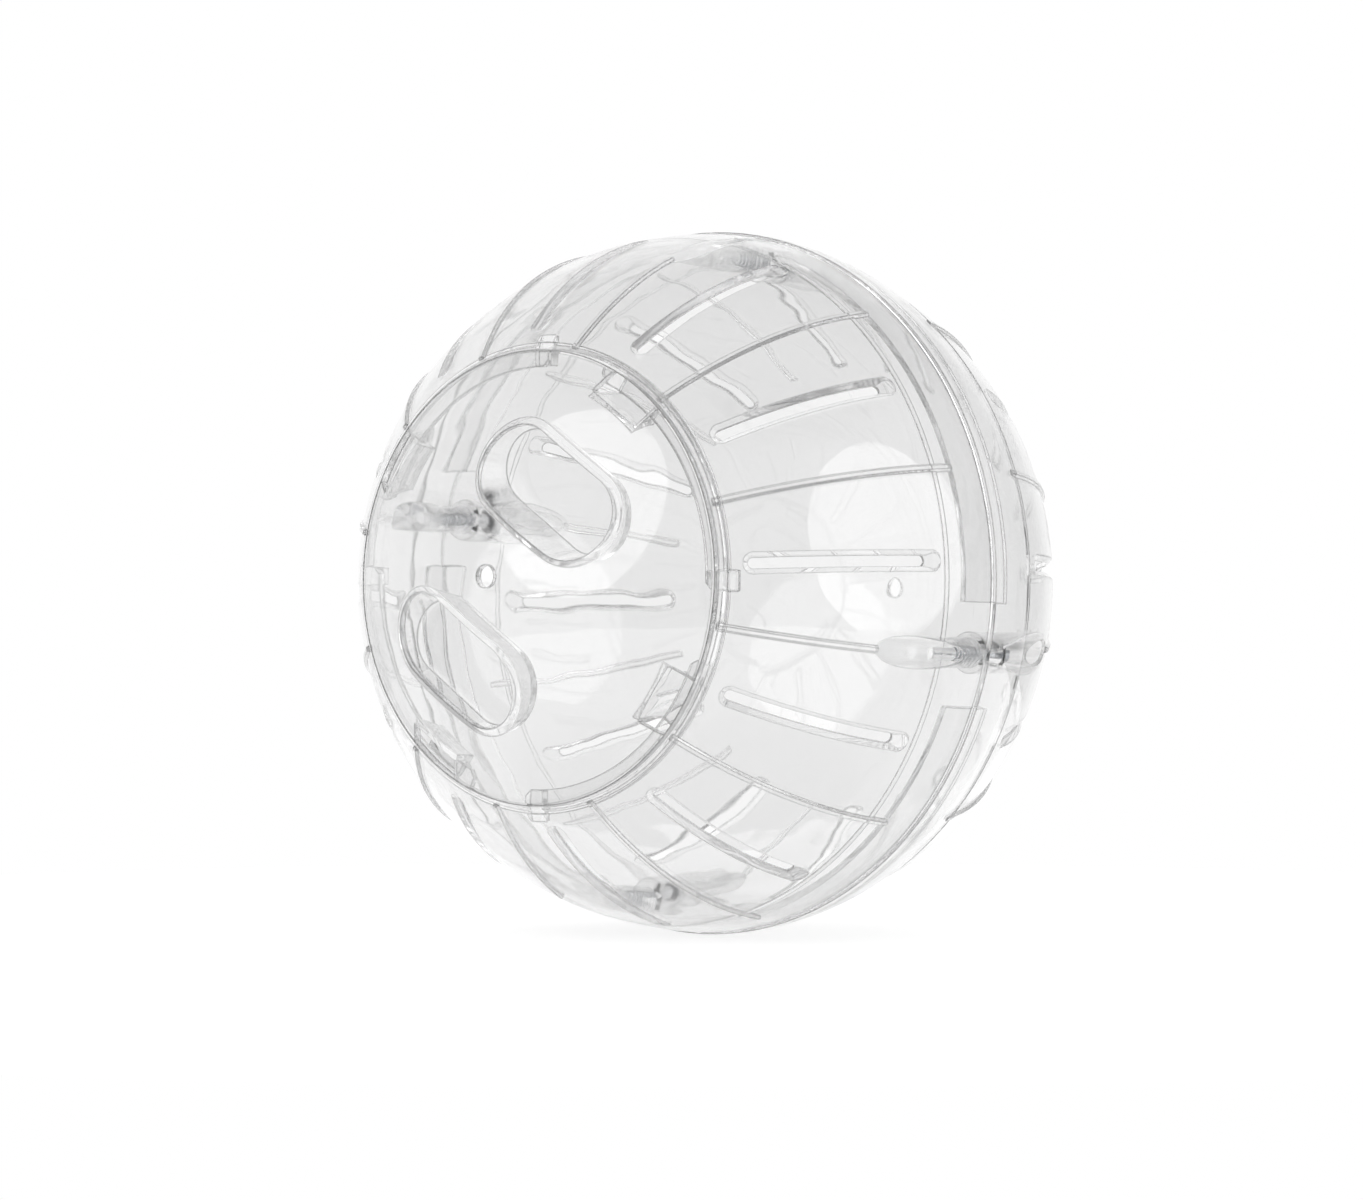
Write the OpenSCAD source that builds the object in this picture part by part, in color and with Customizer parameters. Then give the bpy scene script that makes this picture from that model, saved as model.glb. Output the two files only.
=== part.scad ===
// Clear plastic hamster ball: two screwed half shells and a twist-lock door with two finger recesses.
// Every piece is drawn with the ball's axis upright and its middle at height zero, then turned so that
// the door faces -Y. Clock angles are counted anticlockwise from +X, as seen from the door.

/* [Ball] */
// Outer radius of the front dome
dome_r = 70; // [66:0.5:74]
// How much smaller the rear dome's radius is
rear_inset = 0.4; // [0:0.1:1]
// Thickness of the moulded walls
wall = 1.4; // [1.2:0.1:1.8]
// Radius of the hole at each pole, for a stand's pin
pole_hole_r = 2.1; // [1.5:0.1:3]
// How far each pole is flattened below the front dome's sphere
pole_drop = 1; // [0.6:0.1:1.4]
// Radius of the flattened cap round the rear pole
rear_cap_r = 35; // [30:1:40]

/* [Belt] */
// How far the front shell's edge at the seam stands outside the dome's sphere
belt_rise = 0.2; // [0:0.1:0.6]
// How far the rear shell stands proud of the front one at the seam
belt_step = 0.4; // [0:0.1:0.6]
// Height of the seam between the half shells, from the ball's middle towards the door
seam_h = 1.6; // [1:0.1:1.8]
// Height of the front belt's crease above the ball's middle
belt_h = 14.5; // [13:0.1:15]
// Depth of the rear belt's crease below the ball's middle
rear_belt_h = 14.2; // [11:0.1:15]
// Radius of the front belt's bulge
belt_bulge = 56; // [50:1:60]
// Radius of the rear belt's bulge
rear_belt_bulge = 41; // [40:1:48]
// Gap between the two shells at the seam
seam_gap = 0.2; // [0.1:0.05:0.4]

/* [Locating tongues] */
// Height of the tongues' front edge above the ball's middle
tongue_h = 9; // [6:0.5:11]
// Thickness of a tongue
tongue_t = 1; // [0.8:0.1:1.4]
// Gap between a tongue and the wall it slides along
tongue_gap = 0.2; // [0.15:0.05:0.4]
// Depth to which a tongue's root runs below the ball's middle
tongue_root = 3; // [2:0.5:5]
// Distance from a screw's axis to the end of a tongue
tongue_free = 9.7; // [8:0.1:12]

/* [Air slots] */
// Number of slots round each shell
slot_count = 12; // [12]
// Clock angle of the first slot
slot_clock = 2.5; // [2:0.1:3]
// Distance along the dome from the door opening's collar to the middle of a slot's first round end
slot_gap = 6.15; // [5:0.05:8]
// Height of the middle of a slot's last round end above the belt's crease
slot_rise = 4.1; // [3.5:0.1:7]
// Length along the dome of the ramp at a slot's last end
slot_ramp = 2.45; // [2:0.05:4]
// Width of the through opening
slot_w = 2; // [1.6:0.1:2.4]
// Width of the funnel at the outer face
slot_mouth_w = 4.2; // [3.6:0.1:4.8]
// Depth of the funnel
slot_funnel = 1; // [0.6:0.1:1.1]

/* [Ribs] */
// Clock angle of the first rib, and of the first screw
rib_clock = -12.5; // [-13.5:0.1:-11]
// Width of a rib at the dome
rib_w = 1.4; // [1:0.1:1.6]
// Width of a rib at its top
rib_top_w = 0.8; // [0.6:0.1:0.9]
// How far a rib stands out of the dome
rib_h = 0.6; // [0.4:0.1:0.8]
// How far a rib runs down the belt from its crease
rib_run = 3.9; // [3:0.1:4.5]
// How far a rear rib begins before the slots
rib_lead = 1.7; // [0:0.1:4]

/* [Door opening] */
// Radius of the door opening
opening_r = 43.4; // [42:0.1:44]
// Thickness of the collar round the opening
collar_t = 1; // [0.8:0.1:1.4]
// How far the collar reaches below the lips
collar_skirt = 1; // [0.6:0.1:1.4]
// Reach of the lips that hold the door, in from the opening
lip_w = 3.4; // [3:0.1:3.9]
// Thickness of a lip
lip_t = 1.1; // [1:0.1:1.4]
// Clock angle at which the first lip begins, at its stop block
lip_clock = -3.8; // [-4.8:0.1:-2.8]
// Angle that a lip spans
lip_span = 71.5; // [70:0.1:72.5]
// Chamfer on a lip's inner corners
lip_chamfer = 1.2; // [0.8:0.1:1.6]
// Angle that a stop block spans
stop_span = 4.8; // [4:0.1:6]
// How far a stop block hangs below its lip
stop_drop = 1.8; // [1.6:0.1:2]

/* [Door] */
// How far the door's edge stands above the opening's edge
door_proud = 0.12; // [0:0.02:0.3]
// Gap between the door's edge and the opening
door_gap = 0.3; // [0.25:0.05:0.5]
// Gap between the door and the lips, and between a hook and the lips
seat_gap = 0.3; // [0.25:0.05:0.5]
// Clock angle of the finger recesses, and of the first hook
door_clock = 54.9; // [53.5:0.1:56]

/* [Finger recesses] */
// Distance of a recess from the ball's axis
recess_r = 19.6; // [19:0.1:20.5]
// Length of a recess at its rim
recess_l = 33.6; // [32:0.1:35]
// Width of a recess at its rim
recess_w = 17; // [16:0.1:18]
// How far each side of a recess slants in towards its floor
recess_slant = 1.2; // [0.8:0.1:1.8]
// Depth of a recess
recess_depth = 7.1; // [6:0.1:8]

/* [Hooks] */
// Gap between a hook's leg and the lip in front of it
leg_gap = 0.5; // [0.3:0.05:0.8]
// How far the leg leans outwards on its way down
hook_lean = 1.1; // [0.8:0.1:1.2]
// Thickness of the leg and of the foot
hook_t = 1.3; // [1:0.1:1.4]
// Width of the notch in the door above a hook
notch_w = 12.4; // [12:0.1:13]
// Width of the foot
foot_w = 9.8; // [9:0.1:10.2]
// Gap between the foot's tip and the opening, as it passes through
foot_gap = 0.4; // [0.35:0.05:0.8]

/* [Screws] */
// Distance of a screw's axis inside the front shell's edge at the seam
screw_inset = 4.9; // [4.8:0.1:5.6]
// Core radius of a screw
core_r = 1; // [0.9:0.05:1.1]
// Height of a screw's thread
thread_h = 0.35; // [0.3:0.05:0.45]
// Thread pitch
pitch = 1.15; // [1:0.05:1.3]
// Length of a screw below its head
screw_l = 18.2; // [16:0.2:20]
// Length of a screw's point
point_l = 2.4; // [2:0.1:3]
// Plain length below the head
plain_l = 2.2; // [1.5:0.1:3]
// Radius of a pan head
head_r = 2.3; // [2.2:0.05:2.4]
// Height of a pan head
head_h = 1.8; // [1.6:0.1:2]
// Width of a blade of the cross recess
cross_w = 0.7; // [0.6:0.05:0.8]
// Length of a blade of the cross recess
cross_l = 2.8; // [2.4:0.1:3]
// Depth of the cross recess
cross_h = 1.1; // [0.9:0.05:1.2]

/* [Screw bosses] */
// Depth of a screw head's seat behind the ball's middle
seat_h = 5.7; // [5:0.1:7]
// Wall of a front boss round its pilot bore
front_boss_wall = 1.8; // [1.5:0.05:2.2]
// Wall of a rear boss round its well
rear_boss_wall = 1.45; // [1.2:0.05:1.6]
// Gap between a screw's core and its pilot bore, which the thread cuts across
pilot_gap = 0.15; // [0.1:0.05:0.2]
// Depth of the pilot bore past the screw's point
pilot_spare = 3; // [1:0.5:5]
// Gap round a screw's thread in the rear boss
shank_gap = 0.2; // [0.15:0.05:0.3]
// Gap round a screw's head in its well
well_gap = 0.25; // [0.2:0.05:0.3]

/* [Hidden] */
$fn = 144;

screw_count = 4;
lip_count = 4;
rib_count = slot_count;
full_turn = 360;
overrun = 2;
side_relief = 0.04;
plastic = [0.9, 0.93, 0.95, 0.45];
steel = [0.62, 0.63, 0.65];

pole_h = dome_r - pole_drop;
rear_dome_r = dome_r - rear_inset;
belt_r = dome_r + belt_rise;
door_r = opening_r - door_gap;
door_rim_h = sqrt(pow(dome_r, 2) - pow(opening_r, 2)) + door_proud;
door_rise = pole_h - door_rim_h;
door_dome_r = (pow(door_r, 2) + pow(door_rise, 2)) / (2 * door_rise);
door_centre_h = pole_h - door_dome_r;
door_edge_h = door_centre_h + sqrt(pow(door_dome_r - wall, 2) - pow(door_r, 2));
lip_top = door_edge_h - seat_gap;
lip_base = lip_top - lip_t;
foot_top = lip_base - seat_gap;
foot_base = foot_top - hook_t;
foot_r = opening_r - foot_gap;
lip_r = opening_r - lip_w;
hook_r = lip_r - leg_gap - hook_lean;
collar_r = opening_r + collar_t;
collar_base = lip_base - collar_skirt;
stop_base = lip_base - stop_drop;
stop_in_r = lip_r + seat_gap;
stop_out_r = sqrt(pow(dome_r - wall / 2, 2) - pow(lip_base, 2));
rear_belt_r = belt_r + belt_step;
front_form = [dome_r, belt_r, belt_bulge, belt_h];
rear_form = [rear_dome_r, rear_belt_r, rear_belt_bulge, rear_belt_h];
rear_cap_rise = sqrt(pow(rear_dome_r, 2) - pow(rear_cap_r, 2));
rear_cap_drop = pole_h - rear_cap_rise;
rear_cap_dome = (pow(rear_cap_r, 2) + pow(rear_cap_drop, 2)) / (2 * rear_cap_drop);
slot_from = asin(collar_r / dome_r) + arc_angle(slot_gap);
slot_to = acos((belt_h + slot_rise) / dome_r);
slot_open_to = slot_to - arc_angle(slot_ramp);
rib_to = acos((belt_h - rib_run) / dome_r);
rear_rib_from = slot_from - arc_angle(rib_lead);
recess_rim_h = door_centre_h + sqrt(pow(door_dome_r, 2) - pow(recess_r, 2));
recess_floor_h = recess_rim_h - recess_depth;
recess_floor_w = recess_w - 2 * recess_slant;
screw_r = belt_r - screw_inset;
thread_r = core_r + thread_h;
pilot_r = core_r + pilot_gap;
pilot_h = screw_l - seat_h + pilot_spare;
well_r = head_r + well_gap;
front_boss_r = pilot_r + front_boss_wall;
rear_boss_r = well_r + rear_boss_wall;
tongue_clear = asin(tongue_free / screw_r);
screw_turn = full_turn / screw_count;

// Angle at the ball's centre of a length along the dome
function arc_angle(length) = full_turn * length / (2 * PI * dome_r);

// Turns a piece from its upright axis to the ball's own place, with the door towards -Y
module place() {
  rotate([90, 0, 0]) children();
}

// Repeats its children round the ball's axis
module around(count, clock) {
  for (i = [0 : count - 1]) rotate([0, 0, clock + i * full_turn / count]) children();
}

// Solid half ball in the plane of radius and height, made smaller all over by inset.
// A form holds a dome's radius, the seam's radius, the belt's bulge and the belt's height.
module half_outline(form, inset, base) {
  intersection() {
    circle(r = form[0] - inset);
    translate([0, form[3]]) square([form[0], form[0]]);
  }
  intersection() {
    union() {
      translate([form[1] - form[2], 0]) circle(r = form[2] - inset);
      translate([0, base]) square([form[1] - form[2], form[3] - base]);
    }
    translate([0, base]) square([form[1], form[3] - base]);
  }
}

// The rear half's outline, flattened round its pole
module rear_outline(inset, base) {
  intersection() {
    half_outline(rear_form, inset, base);
    translate([0, pole_h - rear_cap_dome]) circle(r = rear_cap_dome - inset);
  }
}

// Solid cylinders that stay as screw bosses where a half's cavity is cut
module boss_cores(boss_r) {
  around(screw_count, rib_clock) translate([screw_r, 0, -2 * overrun])
    cylinder(r = boss_r, h = dome_r);
}

// Dome-shaped plate between two spheres of one centre, out to a radius
module dome_plate(sphere_r, rim_r) {
  translate([0, 0, pole_h - sphere_r]) rotate_extrude() intersection() {
    difference() {
      circle(r = sphere_r);
      circle(r = sphere_r - wall);
    }
    square([rim_r, sphere_r]);
  }
}

// Turns a profile of distance and width about the ball's centre, along a meridian between two polar angles
module meridian_sweep(from, to, profile) {
  rotate([90, 0, 0]) rotate([0, 0, 90 - to]) rotate_extrude(angle = to - from) polygon(profile);
}

// Stands its children on the ray from the ball's centre at a polar angle
module on_ray(polar, height) {
  rotate([0, polar, 0]) translate([0, 0, height]) children();
}

// Point of the meridian plane, from a distance and a polar angle
function ray_point(distance, polar) = distance * [sin(polar), cos(polar)];

// Through opening of a slot, with round ends
module slot_opening(sphere_r) {
  half = slot_w / 2;
  low = sphere_r - wall - overrun;
  high = sphere_r + overrun;
  meridian_sweep(slot_from, slot_open_to, [[low, -half], [high, -half], [high, half], [low, half]]);
  for (end = [slot_from, slot_open_to]) on_ray(end, low) cylinder(r = half, h = high - low);
}

// Funnel round a slot: slanted sides just inside the cone ends, and a ramp at the belt end
module slot_mouth(sphere_r) {
  half = slot_w / 2;
  flare = (slot_mouth_w - slot_w) / (2 * slot_funnel);
  high_half = half + flare * (slot_funnel + overrun);
  side_low = half - side_relief;
  side_high = high_half - side_relief;
  low = sphere_r - slot_funnel;
  high = sphere_r + overrun;
  ramp_foot = ray_point(low, slot_open_to + asin(half / low));
  ramp_head = ray_point(sphere_r, slot_to + asin(slot_mouth_w / (2 * sphere_r)));
  difference() {
    union() {
      meridian_sweep(slot_from, slot_to,
        [[low, -side_low], [high, -side_high], [high, side_high], [low, side_low]]);
      for (end = [slot_from, slot_to]) on_ray(end, low)
        cylinder(r1 = half, r2 = high_half, h = high - low);
    }
    rotate([90, 0, 0]) linear_extrude(2 * high_half + overrun, center = true) polygon([
      ramp_foot,
      ramp_foot - ray_point(overrun, slot_open_to),
      2 * ramp_head - ramp_foot - ray_point(2 * slot_funnel + overrun, slot_to),
      2 * ramp_head - ramp_foot
    ]);
  }
}

// Funnel-edged slot along a meridian, cut through a dome of the given radius
module slot_cut(sphere_r) {
  slot_opening(sphere_r);
  slot_mouth(sphere_r);
}

// Raised rib along a meridian between two polar angles, with slanted sides
module rib(sphere_r, from, to) {
  low = sphere_r - wall / 2;
  high = sphere_r + rib_h;
  slant = (rib_w - rib_top_w) / (2 * rib_h);
  low_half = rib_w / 2 + slant * wall / 2;
  high_half = rib_top_w / 2;
  meridian_sweep(from, to, [[low, -low_half], [high, -high_half], [high, high_half], [low, low_half]]);
}

// All ribs of a shell: those in line with a screw stop where its boss begins
module ribs(sphere_r, from, boss_r) {
  boss_edge = asin((screw_r - boss_r) / (sphere_r - wall));
  around(screw_count, rib_clock) {
    rib(sphere_r, from, boss_edge);
    for (i = [1 : rib_count / screw_count - 1]) rotate([0, 0, i * full_turn / rib_count])
      rib(sphere_r, from, rib_to);
  }
}

// Ring sector in the plane, from clock angle zero
module sector(in_r, out_r, span) {
  intersection() {
    difference() {
      circle(r = out_r);
      circle(r = in_r);
    }
    polygon([
      [0, 0],
      2 * out_r * [cos(0), sin(0)],
      2 * out_r * [cos(span / 2), sin(span / 2)],
      2 * out_r * [cos(span), sin(span)]
    ]);
  }
}

// Inward lip that a hook slides under, with chamfered inner corners and its stop block
module lip() {
  translate([0, 0, lip_base]) linear_extrude(lip_t) difference() {
    sector(lip_r, collar_r - collar_t / 2, lip_span);
    translate([lip_r, 0]) rotate(45) square(sqrt(2) * lip_chamfer, center = true);
    rotate(lip_span) translate([lip_r, 0]) rotate(45) square(sqrt(2) * lip_chamfer, center = true);
  }
  rotate_extrude(angle = stop_span) polygon([
    [stop_in_r, stop_base],
    [stop_out_r, stop_base],
    [stop_out_r, lip_base],
    [stop_in_r + (lip_top - lip_base) / 2, lip_top - lip_t / 2],
    [stop_in_r, lip_base]
  ]);
}

// Front half: door opening with its lips, pilot bosses for the screws
module front_shell() {
  color(plastic) place() {
    difference() {
      union() {
        rotate_extrude() half_outline(front_form, 0, seam_h + seam_gap / 2);
        ribs(dome_r, asin(collar_r / dome_r), front_boss_r);
      }
      difference() {
        rotate_extrude() half_outline(front_form, wall, -overrun);
        boss_cores(front_boss_r);
        translate([0, 0, collar_base]) cylinder(r = collar_r, h = dome_r);
      }
      translate([0, 0, collar_base - overrun]) cylinder(r = opening_r, h = dome_r);
      around(slot_count, slot_clock) slot_cut(dome_r);
      around(screw_count, rib_clock) translate([screw_r, 0, -overrun])
        cylinder(r = pilot_r, h = pilot_h + overrun);
    }
    around(lip_count, lip_clock) lip();
  }
}

// Rear half: flattened pole cap, locating tongues, and a well behind each screw head
module rear_shell() {
  color(plastic) place() mirror([0, 0, 1]) {
    difference() {
      union() {
        rotate_extrude() rear_outline(0, seam_gap / 2 - seam_h);
        ribs(rear_dome_r, rear_rib_from, rear_boss_r);
      }
      difference() {
        rotate_extrude() rear_outline(wall, -overrun);
        boss_cores(rear_boss_r);
      }
      around(slot_count, slot_clock) slot_cut(rear_dome_r);
      around(screw_count, rib_clock) translate([screw_r, 0, seat_h])
        cylinder(r = well_r, h = rear_dome_r);
      around(screw_count, rib_clock) translate([screw_r, 0, -overrun])
        cylinder(r = thread_r + shank_gap, h = rear_dome_r);
      cylinder(r = pole_hole_r, h = pole_h + overrun);
    }
    around(screw_count, rib_clock + tongue_clear) tongue();
  }
}

// Curved tongue inside the belt, from its root behind the seam into the front shell
module tongue() {
  span = screw_turn - 2 * tongue_clear;
  front_centre = belt_r - belt_bulge;
  out_r = belt_bulge - wall - tongue_gap;
  rotate_extrude(angle = span) difference() {
    union() {
      intersection() {
        translate([front_centre, 0]) circle(r = out_r);
        translate([0, -tongue_h]) square([belt_r, tongue_h + tongue_root]);
      }
      intersection() {
        translate([rear_belt_r - rear_belt_bulge, 0]) circle(r = rear_belt_bulge - wall / 2);
        translate([0, seam_gap / 2 - seam_h]) square([rear_belt_r, tongue_root + seam_h - seam_gap / 2]);
      }
    }
    translate([front_centre, 0]) circle(r = out_r - tongue_t);
    translate([0, -tongue_h - overrun])
      square([front_centre + belt_bulge / 2, tongue_h + tongue_root + 2 * overrun]);
  }
}

// Tapered pocket with round ends: a wedge between two cones
module pocket(rim_l, rim_w, floor_w, floor_h, top_h) {
  half_run = (rim_l - rim_w) / 2;
  for (side = [-1, 1]) translate([side * half_run, 0, floor_h])
    cylinder(r1 = floor_w / 2, r2 = rim_w / 2, h = top_h - floor_h);
  translate([-half_run, 0, 0]) rotate([90, 0, 90]) linear_extrude(2 * half_run) polygon([
    [-floor_w / 2, floor_h],
    [floor_w / 2, floor_h],
    [rim_w / 2, top_h],
    [-rim_w / 2, top_h]
  ]);
}

// Bayonet hook below a notch in the door's edge: a leaning leg that narrows, and a foot turned outwards
module hook() {
  leg_top = door_centre_h + sqrt(pow(door_dome_r - wall / 2, 2) - pow(hook_r, 2));
  intersection() {
    rotate([0, 0, -full_turn / 16]) rotate_extrude(angle = full_turn / 8) polygon([
      [hook_r - hook_t, leg_top],
      [hook_r, leg_top],
      [hook_r + hook_lean, foot_top],
      [foot_r, foot_top],
      [foot_r, foot_base],
      [hook_r + hook_lean - hook_t, foot_base]
    ]);
    rotate([90, 0, 90]) linear_extrude(dome_r) polygon([
      [-foot_w / 2, foot_base - overrun],
      [foot_w / 2, foot_base - overrun],
      [foot_w / 2, foot_top],
      [notch_w / 2, leg_top],
      [-notch_w / 2, leg_top],
      [-foot_w / 2, foot_top]
    ]);
  }
}

// Door: a flat dome with two finger recesses, four hooks below notches, and the front pole hole
module door() {
  recess_top = pole_h + overrun;
  flare = 2 * recess_slant / recess_depth;
  top_w = recess_floor_w + flare * (recess_top - recess_floor_h);
  low_w = recess_floor_w - flare * wall;
  run = recess_l - recess_w;
  color(plastic) place() rotate([0, 0, door_clock]) difference() {
    union() {
      difference() {
        union() {
          dome_plate(door_dome_r, door_r);
          around(2, 0) translate([recess_r, 0, 0]) rotate([0, 0, 90]) intersection() {
            pocket(run + top_w + 2 * wall, top_w + 2 * wall, low_w + 2 * wall,
              recess_floor_h - wall, recess_top);
            translate([0, recess_r, door_centre_h]) sphere(r = door_dome_r - wall / 2);
          }
        }
        around(lip_count, 0) translate([hook_r, -notch_w / 2, foot_base])
          cube([dome_r, notch_w, dome_r]);
      }
      around(lip_count, 0) hook();
    }
    around(2, 0) translate([recess_r, 0, 0]) rotate([0, 0, 90])
      pocket(run + top_w, top_w, recess_floor_w, recess_floor_h, recess_top);
    cylinder(r = pole_hole_r, h = pole_h + overrun);
  }
}

// Pan-head self-tapping screw, head at the rear
module screw(clock) {
  thread_count = floor((screw_l - plain_l - point_l) / pitch);
  color(steel) place() rotate([0, 0, clock]) translate([screw_r, 0, -seat_h]) difference() {
    union() {
      translate([0, 0, -head_h]) cylinder(r = head_r, h = head_h);
      cylinder(r = core_r, h = screw_l - point_l);
      translate([0, 0, screw_l - point_l]) cylinder(r1 = core_r, r2 = 0, h = point_l);
      for (i = [0 : thread_count - 1]) translate([0, 0, plain_l + i * pitch]) thread_ridge();
    }
    for (turn = [0, 90]) rotate([0, 0, turn]) translate([-cross_l / 2, -cross_w / 2, -head_h - overrun])
      cube([cross_l, cross_w, cross_h + overrun]);
  }
}

// One thread ridge, drawn as a closed ring
module thread_ridge() {
  rotate_extrude() polygon([
    [core_r / 2, 0],
    [core_r, 0],
    [thread_r, pitch / 2],
    [core_r, pitch],
    [core_r / 2, pitch]
  ]);
}

front_shell();
rear_shell();
door();
screw(rib_clock);  // screw_right
screw(rib_clock + screw_turn);  // screw_top
screw(rib_clock + 2 * screw_turn);  // screw_left
screw(rib_clock + 3 * screw_turn);  // screw_bottom
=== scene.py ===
import bmesh
import bpy
import math
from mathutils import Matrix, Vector


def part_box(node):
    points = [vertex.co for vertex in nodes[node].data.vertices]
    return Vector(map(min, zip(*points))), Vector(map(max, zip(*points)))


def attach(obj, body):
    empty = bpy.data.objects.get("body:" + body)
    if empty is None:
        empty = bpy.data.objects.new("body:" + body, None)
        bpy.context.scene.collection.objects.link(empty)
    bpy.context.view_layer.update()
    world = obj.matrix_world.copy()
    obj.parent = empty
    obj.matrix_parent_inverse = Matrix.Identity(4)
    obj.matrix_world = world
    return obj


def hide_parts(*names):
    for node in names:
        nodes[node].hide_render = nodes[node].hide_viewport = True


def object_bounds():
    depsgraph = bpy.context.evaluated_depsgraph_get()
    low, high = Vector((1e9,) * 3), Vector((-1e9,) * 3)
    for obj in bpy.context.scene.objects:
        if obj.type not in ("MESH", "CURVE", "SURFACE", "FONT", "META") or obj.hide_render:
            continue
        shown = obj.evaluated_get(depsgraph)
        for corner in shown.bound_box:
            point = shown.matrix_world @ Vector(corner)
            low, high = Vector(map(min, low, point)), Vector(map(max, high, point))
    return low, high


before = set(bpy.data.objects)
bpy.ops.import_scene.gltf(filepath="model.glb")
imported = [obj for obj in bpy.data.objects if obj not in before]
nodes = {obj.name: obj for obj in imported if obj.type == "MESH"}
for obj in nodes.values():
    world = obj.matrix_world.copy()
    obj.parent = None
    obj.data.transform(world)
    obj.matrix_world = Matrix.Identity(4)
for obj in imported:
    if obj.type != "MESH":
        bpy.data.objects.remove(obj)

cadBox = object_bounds()  # the CAD model's box, before anything is added
scene = bpy.context.scene
mm = 0.001


# An sRGB hex colour as linear RGBA
def linear(hexColour):
    parts = [int(hexColour[i:i + 2], 16) / 255 for i in (1, 3, 5)]
    return [c / 12.92 if c <= 0.04045 else ((c + 0.055) / 1.055) ** 2.4 for c in parts] + [1.0]


def addNode(tree, kind, settings=None, links=None):
    # links: input name or number -> (node, output name or number), or a plain value
    node = tree.nodes.new(kind)
    for key, value in (settings or {}).items():
        setattr(node, key, value)
    for key, value in (links or {}).items():
        if isinstance(value, tuple) and len(value) == 2 and hasattr(value[0], "outputs"):
            tree.links.new(value[0].outputs[value[1]], node.inputs[key])
        else:
            node.inputs[key].default_value = value
    return node


def newMaterial(name):
    material = bpy.data.materials.new(name)
    material.use_nodes = True
    material.node_tree.nodes.clear()
    return material, material.node_tree


def deselectAll():
    bpy.ops.object.select_all(action="DESELECT")


# Clear polystyrene, injection moulded and polished: see-through, with the slow waves of the mould in its
# walls, and a little rounding on every edge, which carries a thin line of painted grey shade
clearPlastic = {
    "tint": "#F4F4F4",
    "ior": 1.59,
    "roughness": 0.012,
    "waveLength": 11 * mm,
    "waveDepth": 0.11 * mm,
    "waveDetail": 1.0,
    "waveBlend": 0.4,
    "midWall": 68.7 * mm,  # from the ball's centre, between the wall's inner and outer faces
    "edgeRadius": 0.5 * mm,
    "edgeSamples": 6,
    # painted shade: the grey of the thin dark line painted along every edge
    "paintedEdgeShade": "#5C5C5C",
    "edgeStart": 0.995,  # cosine of the rounding's turn where the painted grey edge shade begins
    "edgeFull": 0.9,
}


def clearPolystyrene():
    material, tree = newMaterial("clearPolystyreneMoulded")
    place = addNode(tree, "ShaderNodeTexCoord")
    distance = addNode(tree, "ShaderNodeVectorMath", {"operation": "LENGTH"}, {0: (place, "Object")})
    outside = addNode(tree, "ShaderNodeMath", {"operation": "GREATER_THAN"}, {
        0: (distance, "Value"), 1: clearPlastic["midWall"]})  # gives each face of a wall its own waves
    waves = addNode(tree, "ShaderNodeTexNoise", {"noise_dimensions": "4D"}, {
        "Vector": (place, "Object"), "W": (outside, 0), "Scale": 1 / clearPlastic["waveLength"],
        "Detail": clearPlastic["waveDetail"], "Roughness": clearPlastic["waveBlend"]})
    edges = addNode(tree, "ShaderNodeBevel", {"samples": clearPlastic["edgeSamples"]}, {
        "Radius": clearPlastic["edgeRadius"]})
    surface = addNode(tree, "ShaderNodeNewGeometry")
    turned = addNode(tree, "ShaderNodeVectorMath", {"operation": "DOT_PRODUCT"}, {
        0: (edges, 0), 1: (surface, "Normal")})
    edgeShadeMask = addNode(tree, "ShaderNodeMapRange", {}, {
        "Value": (turned, "Value"), "From Min": clearPlastic["edgeStart"],
        "From Max": clearPlastic["edgeFull"], "To Min": 0.0, "To Max": 1.0})
    # Painted shade: the colour turns grey where the bevel turns the normal, a thin dark line painted
    # along every edge
    colour = addNode(tree, "ShaderNodeMix", {"data_type": "RGBA"}, {
        0: (edgeShadeMask, 0), 6: linear(clearPlastic["tint"]), 7: linear(clearPlastic["paintedEdgeShade"])})
    bump = addNode(tree, "ShaderNodeBump", {}, {
        "Height": (waves, 0), "Strength": 1.0, "Distance": clearPlastic["waveDepth"],
        "Normal": (edges, 0)})
    shader = addNode(tree, "ShaderNodeBsdfPrincipled", {}, {
        "Base Color": (colour, 2), "Roughness": clearPlastic["roughness"],
        "IOR": clearPlastic["ior"], "Transmission Weight": 1.0, "Normal": (bump, 0)})
    addNode(tree, "ShaderNodeOutputMaterial", {}, {"Surface": (shader, 0)})
    return material


# The same polystyrene where the mould was left unpolished, on the outsides of the screw bosses and on
# the tongues' edges: cloudy, so that the screws show softly through it
satinPlastic = {
    "tint": "#DCDCDC",
    "roughness": 0.1,
    "cover": 0.45,
    "grain": 0.35 * mm,
    "grainDetail": 2.0,
    "grainDepth": 0.02 * mm,
    "grainStrength": 0.5,
}


def satinPolystyrene():
    material, tree = newMaterial("satinPolystyreneCored")
    place = addNode(tree, "ShaderNodeTexCoord")
    grain = addNode(tree, "ShaderNodeTexNoise", {}, {
        "Vector": (place, "Object"), "Scale": 1 / satinPlastic["grain"],
        "Detail": satinPlastic["grainDetail"]})
    bump = addNode(tree, "ShaderNodeBump", {}, {
        "Height": (grain, 0), "Strength": satinPlastic["grainStrength"],
        "Distance": satinPlastic["grainDepth"]})
    shader = addNode(tree, "ShaderNodeBsdfPrincipled", {}, {
        "Base Color": linear(satinPlastic["tint"]), "Roughness": satinPlastic["roughness"],
        "IOR": clearPlastic["ior"], "Transmission Weight": 1.0, "Alpha": satinPlastic["cover"],
        "Normal": (bump, 0)})
    addNode(tree, "ShaderNodeOutputMaterial", {}, {"Surface": (shader, 0)})
    return material


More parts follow.
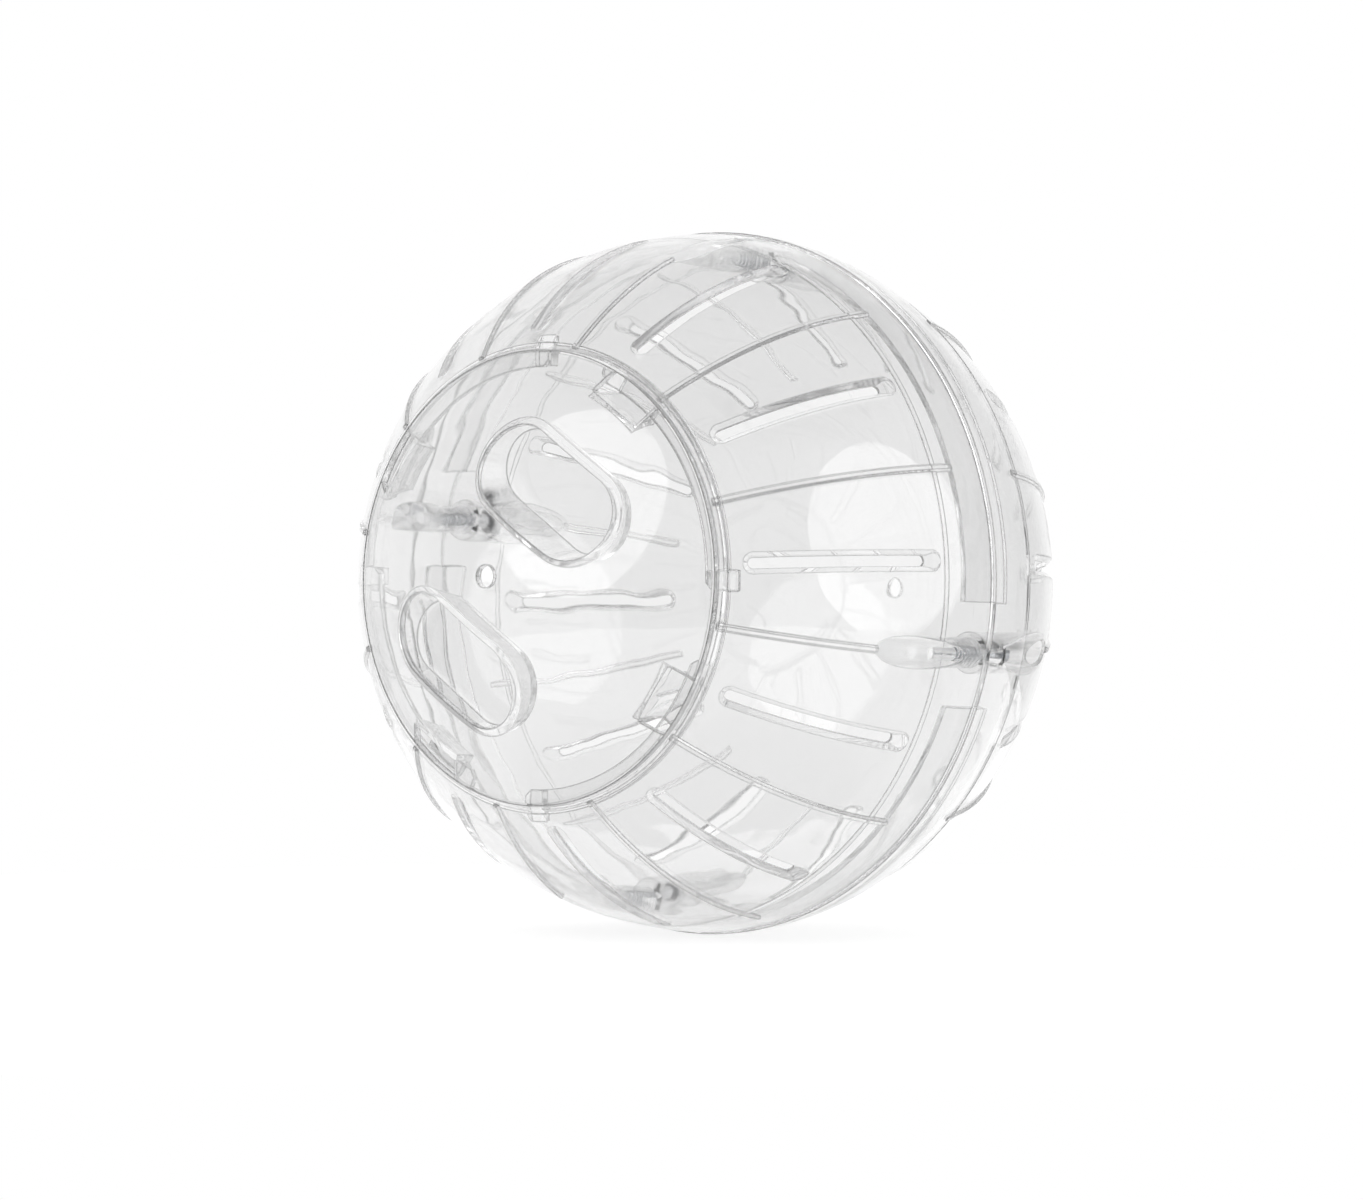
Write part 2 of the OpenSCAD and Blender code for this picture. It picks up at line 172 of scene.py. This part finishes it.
# Zinc-plated steel, thread rolled: bright grey, a little rough
zincSteel = {
    "colour": "#B4B6BA",
    "smoothest": 0.2,
    "roughest": 0.38,
    "grain": 0.3 * mm,
    "grainDetail": 2.0,
}


def zincPlatedSteel():
    material, tree = newMaterial("zincPlatedSteel")
    place = addNode(tree, "ShaderNodeTexCoord")
    grain = addNode(tree, "ShaderNodeTexNoise", {}, {
        "Vector": (place, "Object"), "Scale": 1 / zincSteel["grain"], "Detail": zincSteel["grainDetail"]})
    rough = addNode(tree, "ShaderNodeMapRange", {}, {
        "Value": (grain, 0), "To Min": zincSteel["smoothest"], "To Max": zincSteel["roughest"]})
    shader = addNode(tree, "ShaderNodeBsdfPrincipled", {}, {
        "Base Color": linear(zincSteel["colour"]), "Metallic": 1.0, "Roughness": (rough, 0)})
    addNode(tree, "ShaderNodeOutputMaterial", {}, {"Surface": (shader, 0)})
    return material


plasticMaterial = clearPolystyrene()
satinMaterial = satinPolystyrene()
steelMaterial = zincPlatedSteel()
print("materials made")


# Each moulding is a merged copy of its CAD node with true normals, so that its reflections run smooth.
# A form is a face swept round the ball's axis, in millimetres: the radius of the ring that its curve's
# centre runs on, that centre's height towards the node's own pole, and the radius of the curve.
moulding = {
    "mergeDistance": 0.002 * mm,
    "smoothAngle": 24,
    "formFacing": 0.96,  # least cosine between a face and the form that it lies on
    "formReach": 0.012,  # how far in millimetres its corners may lie off the form
    "front_shell": {"pole": -1, "forms": [(0, 0, 70), (0, 0, 68.6), (14.2, 0, 56), (14.2, 0, 54.6)]},
    "rear_shell": {"pole": 1, "forms": [
        (0, 0, 69.6), (0, 0, 68.2), (29.6, 0, 41), (29.6, 0, 39.6), (0, -4.7036, 73.7036),
        (0, -4.7036, 72.3036), (14.2, 0, 54.4), (14.2, 0, 53.4)]},
    "door": {"pole": -1, "forms": [(0, -4.5222, 73.5222), (0, -4.5222, 72.1222)]},
}


# Normal of a form at a point, and how far the point lies off the form in millimetres
def formNormal(point, form, pole):
    ring, centre, radius = form
    across = Vector((point.x, 0, point.z))
    outwards = across.normalized()
    away = outwards * (across.length / mm - ring) + Vector((0, pole, 0)) * (pole * point.y / mm - centre)
    return away.normalized(), abs(away.length - radius)


# The form that a face lies on, if any
def formOf(face, forms, pole):
    for form in forms:
        middle, _ = formNormal(face.calc_center_median(), form, pole)
        if abs(middle.dot(face.normal)) < moulding["formFacing"]:
            continue
        if all(formNormal(vert.co, form, pole)[1] < moulding["formReach"] for vert in face.verts):
            return form
    return None


def setTrueNormals(mesh, forms, pole):
    work = bmesh.new()
    work.from_mesh(mesh)
    work.faces.ensure_lookup_table()
    known = [formOf(face, forms, pole) for face in work.faces]
    limit = math.cos(math.radians(moulding["smoothAngle"]))
    normals = []
    for face, form in zip(work.faces, known):
        for loop in face.loops:
            if form:
                normal, _ = formNormal(loop.vert.co, form, pole)
                normal *= 1 if normal.dot(face.normal) > 0 else -1
            else:
                normal = Vector()
                for other in loop.vert.link_loops:
                    if known[other.face.index] is None and other.face.normal.dot(face.normal) > limit:
                        normal += other.face.normal * other.calc_angle()
                normal.normalize()
            normals.append(normal)
    work.free()
    mesh.shade_smooth()
    mesh.normals_split_custom_set(normals)
    return sum(form is not None for form in known)


def smoothCopy(node, name, body, material):
    deselectAll()
    piece = nodes[node].copy()
    piece.data = nodes[node].data.copy()
    piece.name = name
    piece.parent = None
    for key in list(piece.keys()):
        del piece[key]
    scene.collection.objects.link(piece)
    piece.select_set(True)
    bpy.context.view_layer.objects.active = piece
    piece.data.materials.clear()
    piece.data.materials.append(material)
    bpy.ops.object.mode_set(mode="EDIT")
    bpy.ops.mesh.select_all(action="SELECT")
    bpy.ops.mesh.remove_doubles(threshold=moulding["mergeDistance"])
    bpy.ops.object.mode_set(mode="OBJECT")
    shape = moulding.get(node, {"pole": 1, "forms": []})
    onForms = setTrueNormals(piece.data, shape["forms"], shape["pole"])
    print(name, len(piece.data.polygons), "faces,", onForms, "on forms")
    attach(piece, body)
    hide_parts(node)
    return piece


# Where the satin finish lies: the outer faces of the screw bosses, found by their distance from a screw's
# axis, and the edges of the rear shell's tongues. The limits on a face's normal are cosines.
satinPlaces = {
    "bossInner": 2.7 * mm,
    "bossOuter": 4.2 * mm,
    "bossAlongAxis": 0.2,
    "bossFromAxis": 0.9,
    "tongueStart": -2 * mm,
    "tongueFromAxis": 0.5,
}


# The axes that the screws run along, as X and Z
def findScrewAxes():
    axes = []
    for node in nodes:
        if node.startswith("screw"):
            low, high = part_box(node)
            axes.append(((low[0] + high[0]) / 2, (low[2] + high[2]) / 2))
    return axes


def onBoss(face, axis):
    across = Vector((face.center.x - axis[0], 0, face.center.z - axis[1]))
    return (satinPlaces["bossInner"] < across.length < satinPlaces["bossOuter"]
            and abs(face.normal.y) < satinPlaces["bossAlongAxis"]
            and abs(across.normalized().dot(face.normal)) > satinPlaces["bossFromAxis"])


def onTongueEdge(face):
    outwards = Vector((face.center.x, 0, face.center.z)).normalized()
    return (face.center.y < satinPlaces["tongueStart"]
            and abs(face.normal.dot(outwards)) < satinPlaces["tongueFromAxis"])


def setSatinFaces(piece, screwAxes, hasTongues):
    piece.data.materials.append(satinMaterial)
    count = 0
    for face in piece.data.polygons:
        if any(onBoss(face, axis) for axis in screwAxes) or (hasTongues and onTongueEdge(face)):
            face.material_index = 1
            count += 1
    print(piece.name, count, "satin faces")


screwAxes = findScrewAxes()
for node in ("front_shell", "rear_shell"):
    shell = smoothCopy(node, node + "_clear", "ball", plasticMaterial)
    setSatinFaces(shell, screwAxes, node == "rear_shell")
smoothCopy("door", "door_clear", "door", plasticMaterial)
for node in nodes:
    if node.startswith("screw"):
        smoothCopy(node, node + "_zinc", "ball", steelMaterial)
print("mouldings and screws made")


# A unit vector from the ball towards an azimuth and elevation in degrees
def awayFrom(azimuth, elevation):
    a, e = math.radians(azimuth), math.radians(elevation)
    return Vector((math.sin(a) * math.cos(e), -math.cos(a) * math.cos(e), math.sin(e)))


# White paper under the ball: its own glow makes it white, and is a little weaker under the ball, a
# painted shade there where the lamps' light and the ball's real shadow also show
paper = {
    "radius": 0.3,
    "sides": 128,
    "gap": 0.02 * mm,
    "colour": "#A6A6A6",
    # painted shade: the paper's glow under the ball, lower than the white glow around it
    "glowUnderBall": 0.83,
    "glowFrom": 0.02,
    "glowTo": 0.1,
}


def makeTable():
    deselectAll()
    lowest = cadBox[0].z
    bpy.ops.mesh.primitive_circle_add(vertices=paper["sides"], radius=paper["radius"], fill_type="NGON",
                                      location=(0, 0, lowest - paper["gap"]))
    table = bpy.context.object
    table.name = "table"
    material, tree = newMaterial("whitePaperTable")
    diffuse = addNode(tree, "ShaderNodeBsdfDiffuse", {}, {"Color": linear(paper["colour"])})
    place = addNode(tree, "ShaderNodeTexCoord")
    distance = addNode(tree, "ShaderNodeVectorMath", {"operation": "LENGTH"}, {0: (place, "Object")})
    # Painted shade: the glow dims towards the ball, a soft darker patch painted on the paper under it
    glowWithPaintedShade = addNode(tree, "ShaderNodeMapRange", {"interpolation_type": "SMOOTHSTEP"}, {
        "Value": (distance, "Value"), "From Min": paper["glowFrom"], "From Max": paper["glowTo"],
        "To Min": paper["glowUnderBall"], "To Max": 1.0})
    glow = addNode(tree, "ShaderNodeEmission", {}, {
        "Color": linear("#FFFFFF"), "Strength": (glowWithPaintedShade, 0)})
    both = addNode(tree, "ShaderNodeAddShader", {}, {0: (diffuse, 0), 1: (glow, 0)})
    addNode(tree, "ShaderNodeOutputMaterial", {}, {"Surface": (both, 0)})
    table.data.materials.append(material)


# Two round softboxes: sizes in metres, each place an azimuth and an elevation in degrees
softbox = {
    "places": [(97, 11), (-9, 22)],
    "distance": 0.95,
    "radius": 0.48,
    "radiance": 1.2,
}


def makeSoftbox(azimuth, elevation):
    light = bpy.data.lights.new("softbox", "AREA")
    light.shape = "DISK"
    light.size = 2 * softbox["radius"]
    light.energy = softbox["radiance"] * math.pi * math.pi * softbox["radius"] ** 2
    lamp = bpy.data.objects.new("softbox", light)
    back = awayFrom(azimuth, elevation)
    lamp.location = back * softbox["distance"]
    lamp.rotation_mode = "QUATERNION"
    lamp.rotation_quaternion = back.to_track_quat("Z", "Y")
    lamp.visible_camera = False
    scene.collection.objects.link(lamp)


# A grey room that lights the ball. Camera rays see white instead. So do rays let through the plastic,
# but for a greyer ceiling, and reflections see a grey room with one white wall. The limits of the
# ceiling are heights of a direction, and those of the wall are cosines from the way that it faces.
room = {
    "grey": "#8C8C8C",
    "ceilingFrom": 0.6,
    "ceilingTo": 0.85,
    "ceilingGrey": 0.35,
    "wallFacing": (62, 0),
    "wallFrom": 0.25,
    "wallTo": 0.8,
    "wallWhite": 1.0,
    "mirroredGrey": 0.3,
}


def makeWorld():
    world = bpy.data.worlds.new("studio")
    scene.world = world
    world.use_nodes = True
    tree = world.node_tree
    tree.nodes.clear()
    rays = addNode(tree, "ShaderNodeLightPath")
    place = addNode(tree, "ShaderNodeTexCoord")
    height = addNode(tree, "ShaderNodeSeparateXYZ", {}, {0: (place, "Generated")})
    ceiling = addNode(tree, "ShaderNodeMapRange", {"interpolation_type": "SMOOTHSTEP"}, {
        "Value": (height, "Z"), "From Min": room["ceilingFrom"], "From Max": room["ceilingTo"],
        "To Min": 1.0, "To Max": room["ceilingGrey"]})
    behind = addNode(tree, "ShaderNodeVectorMath", {"operation": "DOT_PRODUCT"}, {
        0: (place, "Generated"), 1: -awayFrom(*room["wallFacing"])})
    wall = addNode(tree, "ShaderNodeMapRange", {"interpolation_type": "SMOOTHSTEP"}, {
        "Value": (behind, "Value"), "From Min": room["wallFrom"], "From Max": room["wallTo"],
        "To Min": room["mirroredGrey"], "To Max": room["wallWhite"]})
    lit = addNode(tree, "ShaderNodeBackground", {}, {"Color": linear(room["grey"]), "Strength": 1.0})
    white = addNode(tree, "ShaderNodeBackground", {}, {"Color": linear("#FFFFFF"), "Strength": 1.0})
    mirrored = addNode(tree, "ShaderNodeBackground", {}, {
        "Color": linear("#FFFFFF"), "Strength": (wall, 0)})
    passed = addNode(tree, "ShaderNodeBackground", {}, {
        "Color": linear("#FFFFFF"), "Strength": (ceiling, 0)})
    byGloss = addNode(tree, "ShaderNodeMixShader", {}, {
        0: (rays, "Is Glossy Ray"), 1: (lit, 0), 2: (mirrored, 0)})
    byPassing = addNode(tree, "ShaderNodeMixShader", {}, {
        0: (rays, "Is Transmission Ray"), 1: (byGloss, 0), 2: (passed, 0)})
    byCamera = addNode(tree, "ShaderNodeMixShader", {}, {
        0: (rays, "Is Camera Ray"), 1: (byPassing, 0), 2: (white, 0)})
    addNode(tree, "ShaderNodeOutputWorld", {}, {"Surface": (byCamera, 0)})


# The photograph's viewpoint: the lens and film width are in millimetres, and the shift is a share of
# the image's width
viewpoint = {
    "azimuth": 37.2,
    "elevation": -1.3,
    "distance": 812.8 * mm,
    "lens": 106.5,
    "filmWidth": 36,
    "shiftX": -25.0 / 1363,
    "shiftY": -17.0 / 1363,
    "clipStart": 0.01,
    "clipEnd": 50,
}


def makeCamera():
    camera = bpy.data.cameras.new("camera")
    camera.lens = viewpoint["lens"]
    camera.sensor_width = viewpoint["filmWidth"]
    camera.shift_x = viewpoint["shiftX"]
    camera.shift_y = viewpoint["shiftY"]
    camera.clip_start = viewpoint["clipStart"]
    camera.clip_end = viewpoint["clipEnd"]
    holder = bpy.data.objects.new("camera", camera)
    back = awayFrom(viewpoint["azimuth"], viewpoint["elevation"])
    holder.location = back * viewpoint["distance"]
    holder.rotation_mode = "QUATERNION"
    holder.rotation_quaternion = (-back).to_track_quat("-Z", "Y")
    scene.collection.objects.link(holder)
    scene.camera = holder


# Light that is caught inside a clear wall takes many turns to leave it, and ends black if it is cut short
bounces = 96

makeTable()
for azimuth, elevation in softbox["places"]:
    makeSoftbox(azimuth, elevation)
makeWorld()
makeCamera()
scene.view_settings.view_transform = "Standard"
scene.cycles.max_bounces = bounces
scene.cycles.transmission_bounces = bounces
scene.cycles.glossy_bounces = bounces
print("studio made")
